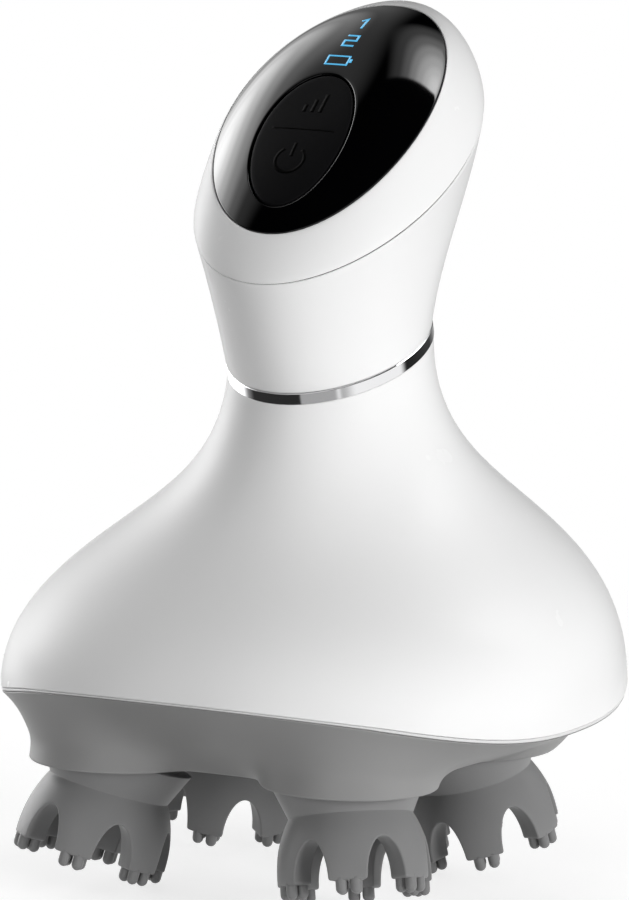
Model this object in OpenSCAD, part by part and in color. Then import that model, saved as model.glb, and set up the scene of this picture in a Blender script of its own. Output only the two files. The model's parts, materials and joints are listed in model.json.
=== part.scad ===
// Handheld electric scalp massager: a bell-shaped body on four slanted silicone heads,
// with an oval thumb panel on its tilted top.
// It stands on the nubs of its heads. The origin is on that surface, below the middle of
// the bell. The front faces -Y, and the cluster of heads sits a little forward.

/* [Bell] */
// Half width of the bell at its widest level
bell_half_w = 46; // [42:0.5:52]
// Height of the widest level above the surface that it stands on
bell_z = 30.65; // [29:0.05:33]
// Plan exponent at the widest level: 2 is an ellipse, more is squarer
bell_square = 2.35; // [2:0.05:2.8]
// Length of the wall's upright pull below the chrome ring
bell_pull_top = 26.7; // [18:0.1:32]
// Length of the wall's upright pull above the widest level
bell_pull_low = 24.1; // [16:0.1:28]
// Wall of the white shells
wall = 1.8; // [1.4:0.1:2.4]

/* [Rim and skirt] */
// Mean height of the wavy rim where bell and skirt meet
rim_z = 31.2; // [30:0.1:33]
// Height of the rim's wave, high at the front and back, low at the sides
rim_wave = 4; // [2:0.1:5]
// How much higher the rim runs at the back than at the front, halved
rim_lean = 2.2; // [0:0.1:3]
// Height of the skirt's lower edge
collar_z = 19.5; // [18.5:0.1:21]
// Outer radius of each round collar
collar_r = 13.5; // [13:0.1:14.5]
// Wall of the skirt
skirt_wall = 1.2; // [1:0.1:1.6]
// Distance from the cluster's centre to the skirt's edge between two collars, at the front and back
web_front = 23; // [21:0.5:26]
// The same distance at the sides
web_side = 27; // [24:0.5:29]
// Thickness of the rim seal
seal_h = 0.9; // [0.6:0.1:1.2]

/* [Neck and cap] */
// Height of the chrome ring's centre
ring_z = 80.7; // [76:0.1:88]
// Distance of the chrome ring's centre behind the bell's middle
ring_y = 2.5; // [0:0.1:4]
// Half width of the chrome ring across the hand
ring_w = 15.1; // [14:0.1:18]
// Half depth of the chrome ring in its own plane
ring_d = 18.5; // [17:0.1:22]
// Tilt of the chrome ring, low at the front
ring_tilt = 19.4; // [12:0.1:24]
// Height of the chrome band
ring_h = 1.9; // [1.2:0.1:2.6]
// Height of the cap's seam at its centre
seam_z = 108.7; // [105:0.1:112]
// Distance of the seam's centre behind the bell's middle
seam_y = 4.3; // [3:0.1:6]
// Half width of the seam
seam_w = 20.4; // [19:0.1:22]
// Half depth of the seam in its own plane
seam_d = 31.1; // [29:0.1:33]
// Tilt of the seam, low at the front
seam_tilt = 31.2; // [28:0.1:34]

/* [Panel and button] */
// Height of the panel's outline at its centre
panel_z = 116.6; // [115:0.1:119]
// Distance of the panel's centre behind the bell's middle
panel_y = 0.5; // [-1:0.1:2]
// Half width of the panel
panel_w = 16.6; // [15:0.1:18]
// Half length of the panel in its own plane
panel_d = 26.1; // [25:0.1:27.5]
// Tilt of the panel, low at the front
panel_tilt = 37.3; // [35:0.1:39]
// Height of the panel's dome above its outline
dome_h = 4.3; // [3:0.1:5]
// How far the outline's two ends drop below its sides
dome_drop = 1.1; // [0:0.1:2]
// Thickness of the panel
panel_t = 1.5; // [1.2:0.1:2]
// Half width of the rocker button
button_w = 7.2; // [6:0.1:8.5]
// Half length of the rocker button
button_d = 12.6; // [11:0.1:13.5]
// Distance of the rocker's middle below the panel's middle
button_v = -9.1; // [-10:0.1:-8]
// Gap round the rocker
button_gap = 0.35; // [0.25:0.05:0.6]
// Thickness of the rocker's pad
button_t = 2; // [1.6:0.1:2.4]

/* [Massage heads] */
// Distance of the cluster's centre in front of the bell's middle
cluster_front = 7.1; // [5:0.1:8]
// Radius of the circle through the four collars
head_circle = 27.7; // [27:0.1:29]
// Outward slant of each head
head_tilt = 16; // [12:0.5:18]
// Radius of the head at its waist
waist_r = 9.3; // [8.5:0.1:9.8]
// Radius of the head at its leg tips
tip_r = 11.7; // [11:0.1:12.2]
// Depth of the waist below the collar's edge, along the head's axis
waist_s = 4.6; // [4:0.1:5.5]
// Length of the legs below the waist
leg_l = 10.2; // [9:0.1:11]
// Thickness of a leg
leg_t = 3.2; // [2.6:0.1:3.5]
// Half width of the arch between two legs, at their tips
arch_w = 3.1; // [2.6:0.1:3.4]
// Depth of an arch's top below the waist
arch_s = 3.9; // [3:0.1:5]
// Number of legs on a head
legs = 6; // [5:1:6]
// Radius of a nub
nub_r = 0.78; // [0.6:0.01:0.79]
// Length of a nub
nub_l = 2.25; // [1.6:0.05:2.6]

/* [Gear train] */
// Radius of a head's shaft
shaft_r = 1.5; // [1.2:0.1:2]
// Running clearance of a shaft in its bush, radial
run_gap = 0.05; // [0.02:0.01:0.1]
// Teeth of the bevel gears
bevel_teeth = 24; // [20:4:28]
// Face width of the bevel gears
bevel_face = 5; // [4:0.5:6]
// Distance of a head's bevel gear above its collar, along the shaft
bevel_s = 17; // [16:0.1:18]
// Teeth of the drive gear's spur wheel
spur_teeth = 42; // [36:1:46]
// Teeth of the small step on the reduction gear
step_teeth = 14; // [14:1:16]
// Module of the drive gear's spur wheel
spur_module = 0.6; // [0.5:0.05:0.65]
// Teeth of the large wheel on the reduction gear
wheel_teeth = 56; // [50:1:58]
// Teeth of the motor's pinion
pinion_teeth = 14; // [14:1:16]
// Module of the motor's pinion
pinion_module = 0.5; // [0.45:0.05:0.5]
// Tooth thickness given up to backlash, as a share
backlash = 0.12; // [0.08:0.01:0.2]

/* [Motor and battery] */
// Radius of the motor
motor_r = 10; // [8:0.1:10.5]
// Length of the motor
motor_l = 25; // [20:0.5:26]
// Radius of the battery cell
cell_r = 7; // [6:0.1:7.5]
// Length of the battery cell
cell_l = 28; // [22:0.5:29]
// Width of the charging socket's mouth
port_w = 8.6; // [7:0.1:9]
// Height of the charging socket's mouth
port_h = 2.8; // [2.4:0.1:3.2]

/* [Hidden] */

$fn = 48;
fit = 0.3; // clearance between a fixed piece and the soft or moulded piece round it
lean = 1.07; // exponent of the bell's tilt, from none at its widest to the ring's
sides = 56; // points round each white shell
dome_p = 3.65; // exponent of the panel's dome: more is flatter in the middle
dome_c = 0.042; // rise of the dome's height per mm towards its upper end
cluster_y = -cluster_front;

// ---- curves ----
function bez(a, b, c, d, t) =
    a*pow(1 - t, 3) + 3*b*t*pow(1 - t, 2) + 3*c*t*t*(1 - t) + d*pow(t, 3);
function mix(a, b, t) = a + (b - a)*t;
function se(c, n) = sign(c)*pow(abs(c), 2/n);
function smooth(t) = t*t*(3 - 2*t);
// A point of a tilted superellipse: centre height z, half width w, half depth d, tilt t, exponent n
function oval(y, z, w, d, t, n, a) =
    let (v = d*se(sin(a), n)) [w*se(cos(a), n), y + v*cos(t), z + v*sin(t)];
function ring_of(n, f) = [for (i = [0:n - 1]) f(360*i/n)];

// The bell: u runs from 0 at the widest level to 1 at the chrome ring, inset by g
bell_top_z = ring_z - cos(ring_tilt)*ring_h/2;
bell_top_y = ring_y + sin(ring_tilt)*ring_h/2;
function bell_z_at(u) =
    bez(bell_z, bell_z + bell_pull_low, bell_top_z - bell_pull_top, bell_top_z, u);
function bell_f(u) = max(0, (bell_z_at(u) - bell_z)/(bell_top_z - bell_z));
function bell_w(u) = bez(bell_half_w, bell_half_w, ring_w + 0.3, ring_w, u);
function bell_d(u) = bez(bell_half_w, bell_half_w, ring_d + 0.3, ring_d, u);
function bell_pt(u, g, a) =
    oval(bell_top_y*bell_f(u), bell_z_at(u), bell_w(u) - g, bell_d(u) - g,
        ring_tilt*pow(bell_f(u), lean), mix(bell_square, 2, pow(bell_f(u), 0.74)), a);
// Height of the rim at plan angle a, and the value of u there
function rim_at(a) = rim_z - rim_wave*cos(2*a) + rim_lean*sin(a);
function rim_u(a, dz = 0) = (rim_at(a) + dz - bell_z)/(3*bell_pull_low);

// The neck: v runs from 0 at the ring's upper edge to 1 at the seam
neck_y = ring_y - sin(ring_tilt)*ring_h/2;
neck_z = ring_z + cos(ring_tilt)*ring_h/2;
function neck_pt(v, g, a) =
    let (back = mix(ring_d, seam_d, pow(smooth(v), 1.56)), front = mix(ring_d, seam_d, pow(v, 0.9)))
    oval(mix(neck_y, seam_y, v), mix(neck_z, seam_z, v), mix(ring_w, seam_w, pow(v, 1.31)) - g,
        (sin(a) > 0 ? back : front) - g, mix(ring_tilt, seam_tilt, pow(v, 3)), 2, a);

// The panel's own frame: x across, v up its slope, h out of it
panel_v = [0, cos(panel_tilt), sin(panel_tilt)];
panel_n = [0, -sin(panel_tilt), cos(panel_tilt)];
panel_c = [0, panel_y, panel_z];
function in_panel(x, v, h) = panel_c + [x, 0, 0] + v*panel_v + h*panel_n;
function dome(x, v) =
    let (r = norm([x/panel_w, v/panel_d]))
    (dome_h + dome_c*v)*(1 - pow(r, dome_p)) - dome_drop*pow(v/panel_d, 2);
function on_dome(x, v, dh) = in_panel(x, v, dome(x, v) + dh);
function edge_pt(a, g, dh) = on_dome((panel_w - g)*cos(a), (panel_d - g)*sin(a), dh);

// The cap's wall: v runs from 0 at the seam to 1 at the panel's outline
cap_bulge_back = 8.4;
cap_bulge = 0.5;
seam_n = [0, -sin(seam_tilt), cos(seam_tilt)];
function out_dir(a) =
    let (e = panel_w*cos(a)*[1, 0, 0] + panel_d*sin(a)*panel_v) e/norm(e);
function cap_pt(v, g, a) =
    let (
        s = oval(seam_y, seam_z, seam_w - g, seam_d - g, seam_tilt, 2, a),
        q = in_panel((panel_w - g)*cos(a), (panel_d - g)*sin(a), -dome_drop*pow(sin(a), 2)),
        b = cap_bulge + (cap_bulge_back - cap_bulge)*pow(sin(a), 2)*(1 + sin(a))/2,
        e = out_dir(a)
    )
    bez(s, s + b*(seam_n + 0.4*e), q + 0.6*(e + 0.5*panel_n), q, v);

// ---- meshes from rings of points ----
function wrap_faces(rows, n) = [
    for (j = [0:rows - 1], i = [0:n - 1])
        let (a = j*n + i, b = j*n + (i + 1)%n, c = ((j + 1)%rows)*n + (i + 1)%n, d = ((j + 1)%rows)*n + i)
        each [[a, d, c], [a, c, b]]
];
// A closed band: the last ring joins the first
module band(rings) {
    polyhedron(points = [for (r = rings) each r], faces = wrap_faces(len(rings), len(rings[0])), convexity = 8);
}
// A solid whose first and last rings close on a point each
module pod(rings, first, last) {
    n = len(rings[0]);
    k = len(rings);
    skin = [for (j = [0:k - 2], i = [0:n - 1])
        let (a = j*n + i, b = j*n + (i + 1)%n, c = (j + 1)*n + (i + 1)%n, d = (j + 1)*n + i)
        each [[a, d, c], [a, c, b]]];
    ends = [for (i = [0:n - 1]) each [[k*n, i, (i + 1)%n], [k*n + 1, (k - 1)*n + (i + 1)%n, (k - 1)*n + i]]];
    polyhedron(points = concat([for (r = rings) each r], [first, last]), faces = concat(skin, ends), convexity = 6);
}

// ---- frames and gear sizes ----
head_az = [225, 315, 45, 135]; // front left, front right, back right, back left
leg_phase = [-1, -23, 9, 24]; // where each head has stopped, from its outward side
module at_cluster() { translate([0, cluster_y, 0]) children(); }
// A head's own frame: origin at its collar's centre, +Z up its shaft, +X outward
module at_head(k) {
    at_cluster()
        translate([head_circle*cos(head_az[k]), head_circle*sin(head_az[k]), collar_z])
            rotate([0, -head_tilt, head_az[k]]) children();
}
module at_panel(x, v, h) { translate(in_panel(x, v, h)) rotate([panel_tilt, 0, 0]) children(); }

apex_s = head_circle/sin(head_tilt); // where all shafts' axes meet, along a head's axis
apex_z = collar_z + head_circle/tan(head_tilt);
cone_l = apex_s - bevel_s;
bevel_r = cone_l*tan(head_tilt/2);
bevel_module = 2*bevel_r/bevel_teeth;
bevel_z = apex_z - cone_l; // middle of the drive gear's bevel face
spur_r = spur_module*spur_teeth/2;
step_r = spur_module*step_teeth/2;
wheel_r = pinion_module*wheel_teeth/2;
pinion_r = pinion_module*pinion_teeth/2;
spur_z = bevel_z + bevel_face/2 + 2.5;
spur_face = 3;
wheel_z = spur_z + spur_face + 1.5;
wheel_face = 2.5;
motor_y = 7.2; // motor's axis behind the cluster's centre
mesh_1 = spur_r + step_r;
mesh_2 = wheel_r + pinion_r;
step_y = (mesh_1*mesh_1 - mesh_2*mesh_2 + motor_y*motor_y)/(2*motor_y);
step_x = sqrt(mesh_1*mesh_1 - step_y*step_y);
step_at = [step_x, step_y];
// Turns a gear of n teeth, seen at angle a from one with m teeth turned by t, into mesh
function mesh_turn(m, n, t, a) =
    let (p = (a - t)*m/360) a + 180 - (0.5 - p)*360/n;
step_dir = atan2(step_y, step_x);
step_turn = mesh_turn(spur_teeth, step_teeth, 0, step_dir);
motor_dir = atan2(motor_y - step_y, -step_x);
pinion_turn = mesh_turn(wheel_teeth, pinion_teeth, step_turn, motor_dir);

plate_t = 2.4;
plate_z = collar_z + 4.2;
plate_top = plate_z + plate_t;
cover_z = wheel_z + wheel_face + 1.3;
cover_t = 2;
cover_top = cover_z + cover_t;
post_at = 17; // posts' distance from the cluster's centre
post_r = 2.4;
posts = [[0, -post_at], [0, post_at], [-post_at, 0]];
screw_r = 0.9;
pin_r = 1.5;
step_pin_r = 1.2;

// ---- gears ----
function inv(a) = tan(a)*180/PI - a;
function tooth_half(n, m, r) =
    let (rb = m*n/2*cos(20)) 90/n*(1 - backlash) + inv(20) - inv(acos(min(1, rb/max(r, rb))));
function flank(n, m) =
    let (rp = m*n/2, lo = rp - 1.15*m, hi = rp + 0.85*m) [lo, mix(lo, hi, 0.45), mix(lo, hi, 0.75), hi];
function gear_pts(n, m) = [
    for (k = [0:n - 1])
        let (f = flank(n, m))
        each concat(
            [for (r = f) let (a = 360*k/n - tooth_half(n, m, r)) r*[cos(a), sin(a)]],
            [for (j = [3:-1:0]) let (a = 360*k/n + tooth_half(n, m, f[j])) f[j]*[cos(a), sin(a)]])
];
module spur(n, m, w, turn = 0) { rotate(turn) linear_extrude(w) polygon(gear_pts(n, m)); }
// A bevel gear centred on z = 0, its teeth running to an apex at z = cone_l
module bevel() {
    low = 1 + bevel_face/2/cone_l;
    translate([0, 0, -bevel_face/2])
        linear_extrude(bevel_face, scale = (2 - low)/low)
            polygon(gear_pts(bevel_teeth, bevel_module*low));
}

// ---- white shells ----
module body_shell() {
    rows = 12;
    outer = [for (j = [0:rows]) ring_of(sides, function (a)
        bell_pt(mix(rim_u(a, skirt_top_gap), 1, j/rows), 0, a))];
    inner = [for (j = [9:-1:0]) ring_of(sides, function (a)
        bell_pt(mix(rim_u(a, skirt_top_gap), 1, j/9), wall, a))];
    color("white") {
        difference() {
            union() {
                band(concat(outer, inner));
                shell_bosses() shell_boss();
            }
            shell_bosses() translate([0, 0, -1]) cylinder(h = shell_screw_l - cover_t + 1, r = screw_r);
        }
    }
}
boss_u = 0.33; // level of the bell's wall beside the screw bosses' feet
boss_top_u = 0.41; // level of the wall that they run up to
boss_r = 3;
boss_x = bell_w(boss_u) - wall - boss_r - 0.6;
boss_y = 4;
shell_screw_l = 5;
boss_cover = 0.8; // depth of a boss's end under the bell's outer surface
boss_slope = atan2(bell_z_at(boss_top_u + 0.05) - bell_z_at(boss_top_u - 0.05),
    bell_w(boss_top_u - 0.05) - bell_w(boss_top_u + 0.05));
module shell_bosses() {
    for (s = [0, 1]) mirror([s, 0, 0]) translate([boss_x, boss_y, cover_top]) children();
}
// A boss that ends on a slant inside the bell's wall
module shell_boss() {
    difference() {
        cylinder(h = 2.5*boss_r + 4, r = boss_r);
        translate([bell_w(boss_top_u) - boss_x, 0, bell_z_at(boss_top_u) - cover_top])
            rotate([0, boss_slope, 0]) translate([-25, -25, -boss_cover]) cube(50);
    }
}

spigot_gap = 0.2;
spigot_t = 1.3;
module neck_shell() {
    rows = 8;
    low_u = 0.9;
    outer = [for (j = [0:rows]) ring_of(sides, function (a) neck_pt(j/rows, 0, a))];
    inner = [for (v = [1, lip_v, 0.7, 0.5, 0.3, 0.15, 0]) ring_of(sides, function (a)
        neck_pt(v, mix(wall + spigot_gap + spigot_t, wall, min(1, 3*v)), a))];
    tongue = [
        ring_of(sides, function (a) bell_pt(1, wall + spigot_gap + spigot_t, a)),
        ring_of(sides, function (a) bell_pt(low_u, wall + spigot_gap + spigot_t, a)),
        ring_of(sides, function (a) bell_pt(low_u, wall + spigot_gap, a)),
        ring_of(sides, function (a) bell_pt(1, wall + spigot_gap, a)),
        ring_of(sides, function (a) neck_pt(0, wall + spigot_gap, a))
    ];
    color("white")
        difference() {
            band(concat(outer, inner, tongue));
            at_port() port_block(port_deep + 3, run_gap);
        }
}

module chrome_ring() {
    color("silver")
        band([
            ring_of(sides, function (a) bell_pt(1, 0, a)),
            ring_of(sides, function (a) neck_pt(0, 0, a)),
            ring_of(sides, function (a) neck_pt(0, wall, a)),
            ring_of(sides, function (a) bell_pt(1, wall, a))
        ]);
}

ledge = 2.2; // width of the ledge that carries the panel
seat_in = 0.5; // how far the seat's wall leans inward over the panel's thickness
ledge_t = 1.4;
lip_v = 0.88; // level in the neck that the cap's lip reaches down to
module upper_cap() {
    rows = 7;
    outer = [for (j = [0:rows]) ring_of(sides, function (a) cap_pt(j/rows, 0, a))];
    seat = [
        ring_of(sides, function (a) edge_pt(a, seat_in, -panel_t)),
        ring_of(sides, function (a) edge_pt(a, ledge, -panel_t)),
        ring_of(sides, function (a) edge_pt(a, ledge, -panel_t - ledge_t))
    ];
    // the wall thickens towards the seam, to carry the lip
    inner = [for (l = [[0.6, wall], [0.45, wall], [0.3, wall], [0.12, wall + spigot_gap + spigot_t]])
        ring_of(sides, function (a) cap_pt(l[0], l[1], a))];
    lip = [
        ring_of(sides, function (a) neck_pt(1, wall + spigot_gap + spigot_t, a)),
        ring_of(sides, function (a) neck_pt(lip_v, wall + spigot_gap + spigot_t, a)),
        ring_of(sides, function (a) neck_pt(lip_v, wall + spigot_gap, a)),
        ring_of(sides, function (a) neck_pt(1, wall + spigot_gap, a))
    ];
    color("white")
        difference() {
            union() {
                band(concat(outer, seat, inner, lip));
                board_posts() cylinder(h = board_post_h, r = 2);
            }
            board_posts() translate([0, 0, -1]) cylinder(h = board_post_h, r = screw_r);
        }
}

// ---- panel and button ----
panel_sides = 48;
panel_gap = 0.12; // clearance between the panel's edge and the cap's seat
panel_under = 0.4; // clearance between the panel and the ledge under it
module display_panel() {
    rows = 5;
    lift = [for (j = [0:rows]) j/rows];
    // t runs from 0 at the panel's edge, inset by g, to 1 at the rocker's opening
    function face(t, g, dh) = ring_of(panel_sides, function (a)
        on_dome(mix(panel_w - g, button_w + button_gap, t)*cos(a),
            mix((panel_d - g)*sin(a), button_v + (button_d + button_gap)*sin(a), t), dh));
    top = [for (t = lift) face(t, panel_gap, 0)];
    under = [for (j = [rows:-1:0]) face(lift[j], panel_gap + seat_in, panel_under - panel_t)];
    color([0.05, 0.05, 0.06])
        difference() {
            union() {
                band(concat(top, under));
                hinge_lugs(button_w + button_gap + 0.4, 1.6);
            }
            at_hinge() rotate([0, 90, 0]) cylinder(h = 2*pin_half, r = hinge_r, center = true);
        }
}

hinge_r = 0.6;
hinge_depth = 4.2; // depth of the rocker's axis below the dome
pin_half = button_w + button_gap + 0.4 + 1.6;
hinge_h = dome(0, button_v) - hinge_depth;
module at_hinge() { at_panel(0, button_v, hinge_h) children(); }
// Two lugs with their inner faces x from the middle, each t thick, up to the dome's underside
module hinge_lugs(x, t) {
    top = dome(x + t, button_v) - 0.9 - hinge_h;
    for (s = [-1, 1])
        at_hinge() translate([s*(x + t/2), 0, (top - 1.4)/2]) cube([t, 3, top + 1.4], center = true);
}

rock_v = 8; // distance of each plunger from the rocker's axis
module rocker_button() {
    function level(t, dh) = ring_of(panel_sides, function (a)
        on_dome(button_w*t*cos(a), button_v + button_d*t*sin(a), dh));
    color([0.13, 0.13, 0.14])
        difference() {
            union() {
                pod([level(0.5, -button_t), level(1, -button_t), level(1, 0), level(0.75, 0), level(0.4, 0)],
                    on_dome(0, button_v, -button_t), on_dome(0, button_v, 0));
                for (s = [-1, 1])
                    at_hinge() translate([s*(button_w - 2.2), 0, 0]) {
                        rotate([0, 90, 0]) cylinder(h = 1.8, r = 1.6, center = true);
                        translate([0, 0, 1.2]) cube([1.8, 2.4, 2.4], center = true);
                    }
                for (s = [-1, 1])
                    at_panel(0, button_v + s*rock_v, switch_top + rock_gap)
                        cylinder(h = dome(0, button_v + s*rock_v) - button_t/2 - switch_top - rock_gap, r = 1.2);
            }
            at_hinge() rotate([0, 90, 0]) cylinder(h = 4*button_w, r = hinge_r + run_gap, center = true);
        }
}
module button_hinge_pin() {
    color("silver")
        at_hinge() rotate([0, 90, 0]) cylinder(h = 2*pin_half, r = hinge_r, center = true);
}

// ---- skirt, seal and base ----
web_pts = 13; // points round one collar
function arc_from() = -acos((web_side - head_circle*cos(45))/collar_r);
function arc_to() = 90 + acos((web_front - head_circle*sin(45))/collar_r);
// One quarter of the lower edge, from the side's middle to the back's middle, inset by g
function quarter(g) =
    let (c = head_circle*cos(45), r = collar_r - g, n = web_pts - 1)
    concat([[web_side - g, 0], [web_side - g, (c + r*sin(arc_from()))/2]],
        [for (j = [0:n]) let (a = mix(arc_from(), arc_to(), j/n)) [c + r*cos(a), c + r*sin(a)]],
        [[(c + r*cos(arc_to()))/2, web_front - g], [0, web_front - g]]);
function flip(l) = [for (j = [len(l) - 1:-1:0]) l[j]];
function all_quarters(g) =
    let (q = quarter(g), k = len(q) - 1)
    concat([for (j = [0:k - 1]) q[j]], [for (j = [k:-1:1]) [-q[j][0], q[j][1]]],
        [for (j = [0:k - 1]) -q[j]], [for (j = [k:-1:1]) [q[j][0], -q[j][1]]]);
// Softens the corners where collars meet webs
function ease(l) = [for (i = [0:len(l) - 1])
    (l[(i + len(l) - 1)%len(l)] + 2*l[i] + l[(i + 1)%len(l)])/4];
skirt_top_gap = seal_h/2 + 0.08;
function skirt_pt(p, t, g) =
    let (
        a = atan2(p[1] + cluster_y/2, p[0]),
        r = bell_pt(rim_u(a, -skirt_top_gap), g, a),
        f = pow(t, mix(1.2, 0.65, (1 + sin(a))/2))
    )
    [mix(p[0], r[0], f), mix(p[1] + cluster_y, r[1], f), mix(collar_z, r[2], t)];
module base_skirt() {
    rows = 7;
    edge_out = ease(all_quarters(0));
    edge_in = ease(all_quarters(skirt_wall));
    outer = [for (j = [0:rows]) [for (p = edge_out) skirt_pt(p, j/rows, 0)]];
    inner = [for (j = [5:-1:0]) [for (p = edge_in) skirt_pt(p, j/5, skirt_wall + 0.4)]];
    color([0.55, 0.55, 0.56]) band(concat(outer, inner));
}
module rim_seal() {
    h = seal_h/2;
    function level(dz, g) = ring_of(sides, function (a) bell_pt(rim_u(a, dz), g, a));
    color([0.8, 0.8, 0.8]) band([level(-h, 0.35), level(h, 0.35), level(h, wall), level(-h, wall)]);
}

boss_bottom = 1.6; // lower end of each bearing boss, along the head's axis
boss_top = 9;
bush_r = 3;
bearing_r = 5;
module base_plate() {
    color([0.35, 0.36, 0.38])
        difference() {
            union() {
                at_cluster() translate([0, 0, plate_z]) linear_extrude(plate_t)
                    polygon(ease(all_quarters(skirt_wall + fit)));
                for (k = [0:3])
                    at_head(k) translate([0, 0, boss_bottom])
                        cylinder(h = boss_top - boss_bottom, r = bearing_r);
                at_cluster() translate([0, 0, plate_z]) cylinder(h = thrust_z - plate_z, r = 3.5);
                at_cluster() translate([step_x, step_y, plate_z]) cylinder(h = plate_t + 1, r = 2.6);
            }
            for (k = [0:3]) at_head(k) translate([0, 0, -5]) cylinder(h = 30, r = bush_r);
            at_cluster() cylinder(h = 100, r = pin_r);
            at_cluster() translate([step_x, step_y, 0]) cylinder(h = 100, r = step_pin_r);
            at_posts() cylinder(h = 100, r = screw_r);
        }
}
module at_posts() { at_cluster() for (p = posts) translate([p[0], p[1], 0]) children(); }
thrust_z = bevel_z - bevel_face/2 - 0.2; // face that the drive gear runs on

module gearbox_cover() {
    motor_at = [0, motor_y];
    color([0.35, 0.36, 0.38])
        difference() {
            union() {
                at_cluster() translate([0, 0, cover_z]) linear_extrude(cover_t) {
                    translate(motor_at) circle(r = motor_r + 1.5);
                    for (p = concat(posts, [step_at, [0, 0]])) arm(motor_at, p, 3.4);
                    for (s = [-1, 1]) arm(motor_at, [s*boss_x, boss_y - cluster_y], boss_r);
                }
                at_posts() translate([0, 0, plate_top]) cylinder(h = cover_z - plate_top + 0.5, r = post_r);
            }
            at_posts() translate([0, 0, plate_top - 1]) cylinder(h = 8, r = screw_r);
            at_cluster() cylinder(h = 100, r = pin_r);
            at_cluster() translate([step_x, step_y, 0]) cylinder(h = 100, r = step_pin_r);
            at_motor() cylinder(h = 100, r = motor_boss_r);
            at_motor_screws() cylinder(h = 100, r = screw_r);
            shell_bosses() translate([0, 0, -10]) cylinder(h = 20, r = screw_r);
        }
}
module arm(p, q, r) {
    d = q - p;
    translate(q) circle(r = r);
    translate(p) rotate(atan2(d[1], d[0])) translate([0, -0.85*r]) square([norm(d), 1.7*r]);
}
// A pan-head screw, its head's seat at z = 0 and its shank up
module screw(l, head_r = 1.7, head_h = 1) {
    cylinder(h = l, r = screw_r);
    translate([0, 0, -head_h])
        difference() {
            cylinder(h = head_h, r = head_r);
            for (a = [0, 90]) rotate(a) translate([0, 0, 0.2]) cube([2*head_r*0.7, 0.4, 0.9], center = true);
        }
}
module base_screws() {
    color("silver") at_posts() translate([0, 0, plate_z]) screw(plate_t + 6);
}
module shell_screws() {
    color("silver") shell_bosses() translate([0, 0, -cover_t]) screw(shell_screw_l, 1.7, 0.9);
}
module motor_screws() {
    color("silver") at_motor_screws() translate([0, 0, cover_z]) screw(cover_t + 3, 1.6, 0.8);
}
module at_motor() { at_cluster() translate([0, motor_y, 0]) children(); }
module at_motor_screws() { at_motor() for (s = [-1, 1]) translate([motor_screw_x*s, 0, 0]) children(); }
module shaft_bushes() {
    color([0.75, 0.6, 0.35])
        for (k = [0:3]) at_head(k) translate([0, 0, boss_bottom])
            difference() {
                union() {
                    cylinder(h = boss_top - boss_bottom, r = bush_r);
                    translate([0, 0, boss_top - boss_bottom]) cylinder(h = 0.8, r = bush_r + 1.2);
                }
                translate([0, 0, -1]) cylinder(h = 20, r = shaft_r + run_gap);
            }
}

// ---- massage heads ----
head_top = 0.5; // upper face of a head, along its axis above the collar's edge
bore_deep = 4.4;
flare = 0.45; // growth of the head's radius above its waist, per mm
tip_s = -waist_s - leg_l;
cup_top = -waist_s - 1.4;
shell_arc = (pow(leg_l - 0.7, 2) + pow(tip_r - waist_r, 2))/(2*(tip_r - waist_r));
function head_r_at(s) =
    tip_r - shell_arc + sqrt(pow(shell_arc, 2) - pow(min(0, -waist_s - s - leg_l + 0.7), 2));
module head_body() {
    n = 5;
    out = [for (j = [0:n]) let (s = mix(-waist_s, tip_s, j/n)) [head_r_at(s), s]];
    in = [for (j = [0:n - 1]) let (s = mix(tip_s, cup_top - 1.2, j/(n - 1))) [head_r_at(s) - leg_t, s]];
    rotate_extrude()
        polygon(concat([[0, head_top], [waist_r + flare*(waist_s + head_top), head_top]], out, in,
            [[head_r_at(cup_top) - leg_t - 1.4, cup_top], [0, cup_top]]));
}
module arch() {
    n = 6;
    turn = 84; // angle of the ellipse at which its outline goes on straight, past the leg tips
    crown = [for (k = [-n:n]) let (a = turn*k/n)
        [arch_w*sin(a)/sin(turn), -waist_s - arch_s - (leg_l - arch_s)*(1 - cos(a))]];
    rotate([90, 0, 90]) linear_extrude(20)
        polygon(concat([[-arch_w, tip_s - 1]], crown, [[arch_w, tip_s - 1]]));
}
module nub() {
    rotate_extrude()
        polygon([[0, 0.4], [nub_r, 0.4], [nub_r, 0.55*nub_r - nub_l], [0.8*nub_r, 0.18*nub_r - nub_l],
            [0.4*nub_r, -nub_l], [0, -nub_l]]);
}
module head(k) {
    nub_mid = tip_r - leg_t/2;
    color([0.5, 0.5, 0.51])
        at_head(k) rotate(leg_phase[k])
            difference() {
                union() {
                    difference() {
                        head_body();
                        for (j = [0:legs - 1]) rotate(360*(j + 0.5)/legs) translate([3, 0, 0]) arch();
                    }
                    for (j = [0:legs - 1], x = [-1, 1], y = [-1, 1])
                        rotate(360*j/legs) translate([nub_mid + leg_t*x/4, 1.1*y, tip_s]) nub();
                }
                translate([0, 0, head_top - bore_deep]) cylinder(h = 10, r = shaft_r);
            }
}
module massage_head_1() { head(0); }
module massage_head_2() { head(1); }
module massage_head_3() { head(2); }
module massage_head_4() { head(3); }

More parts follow.
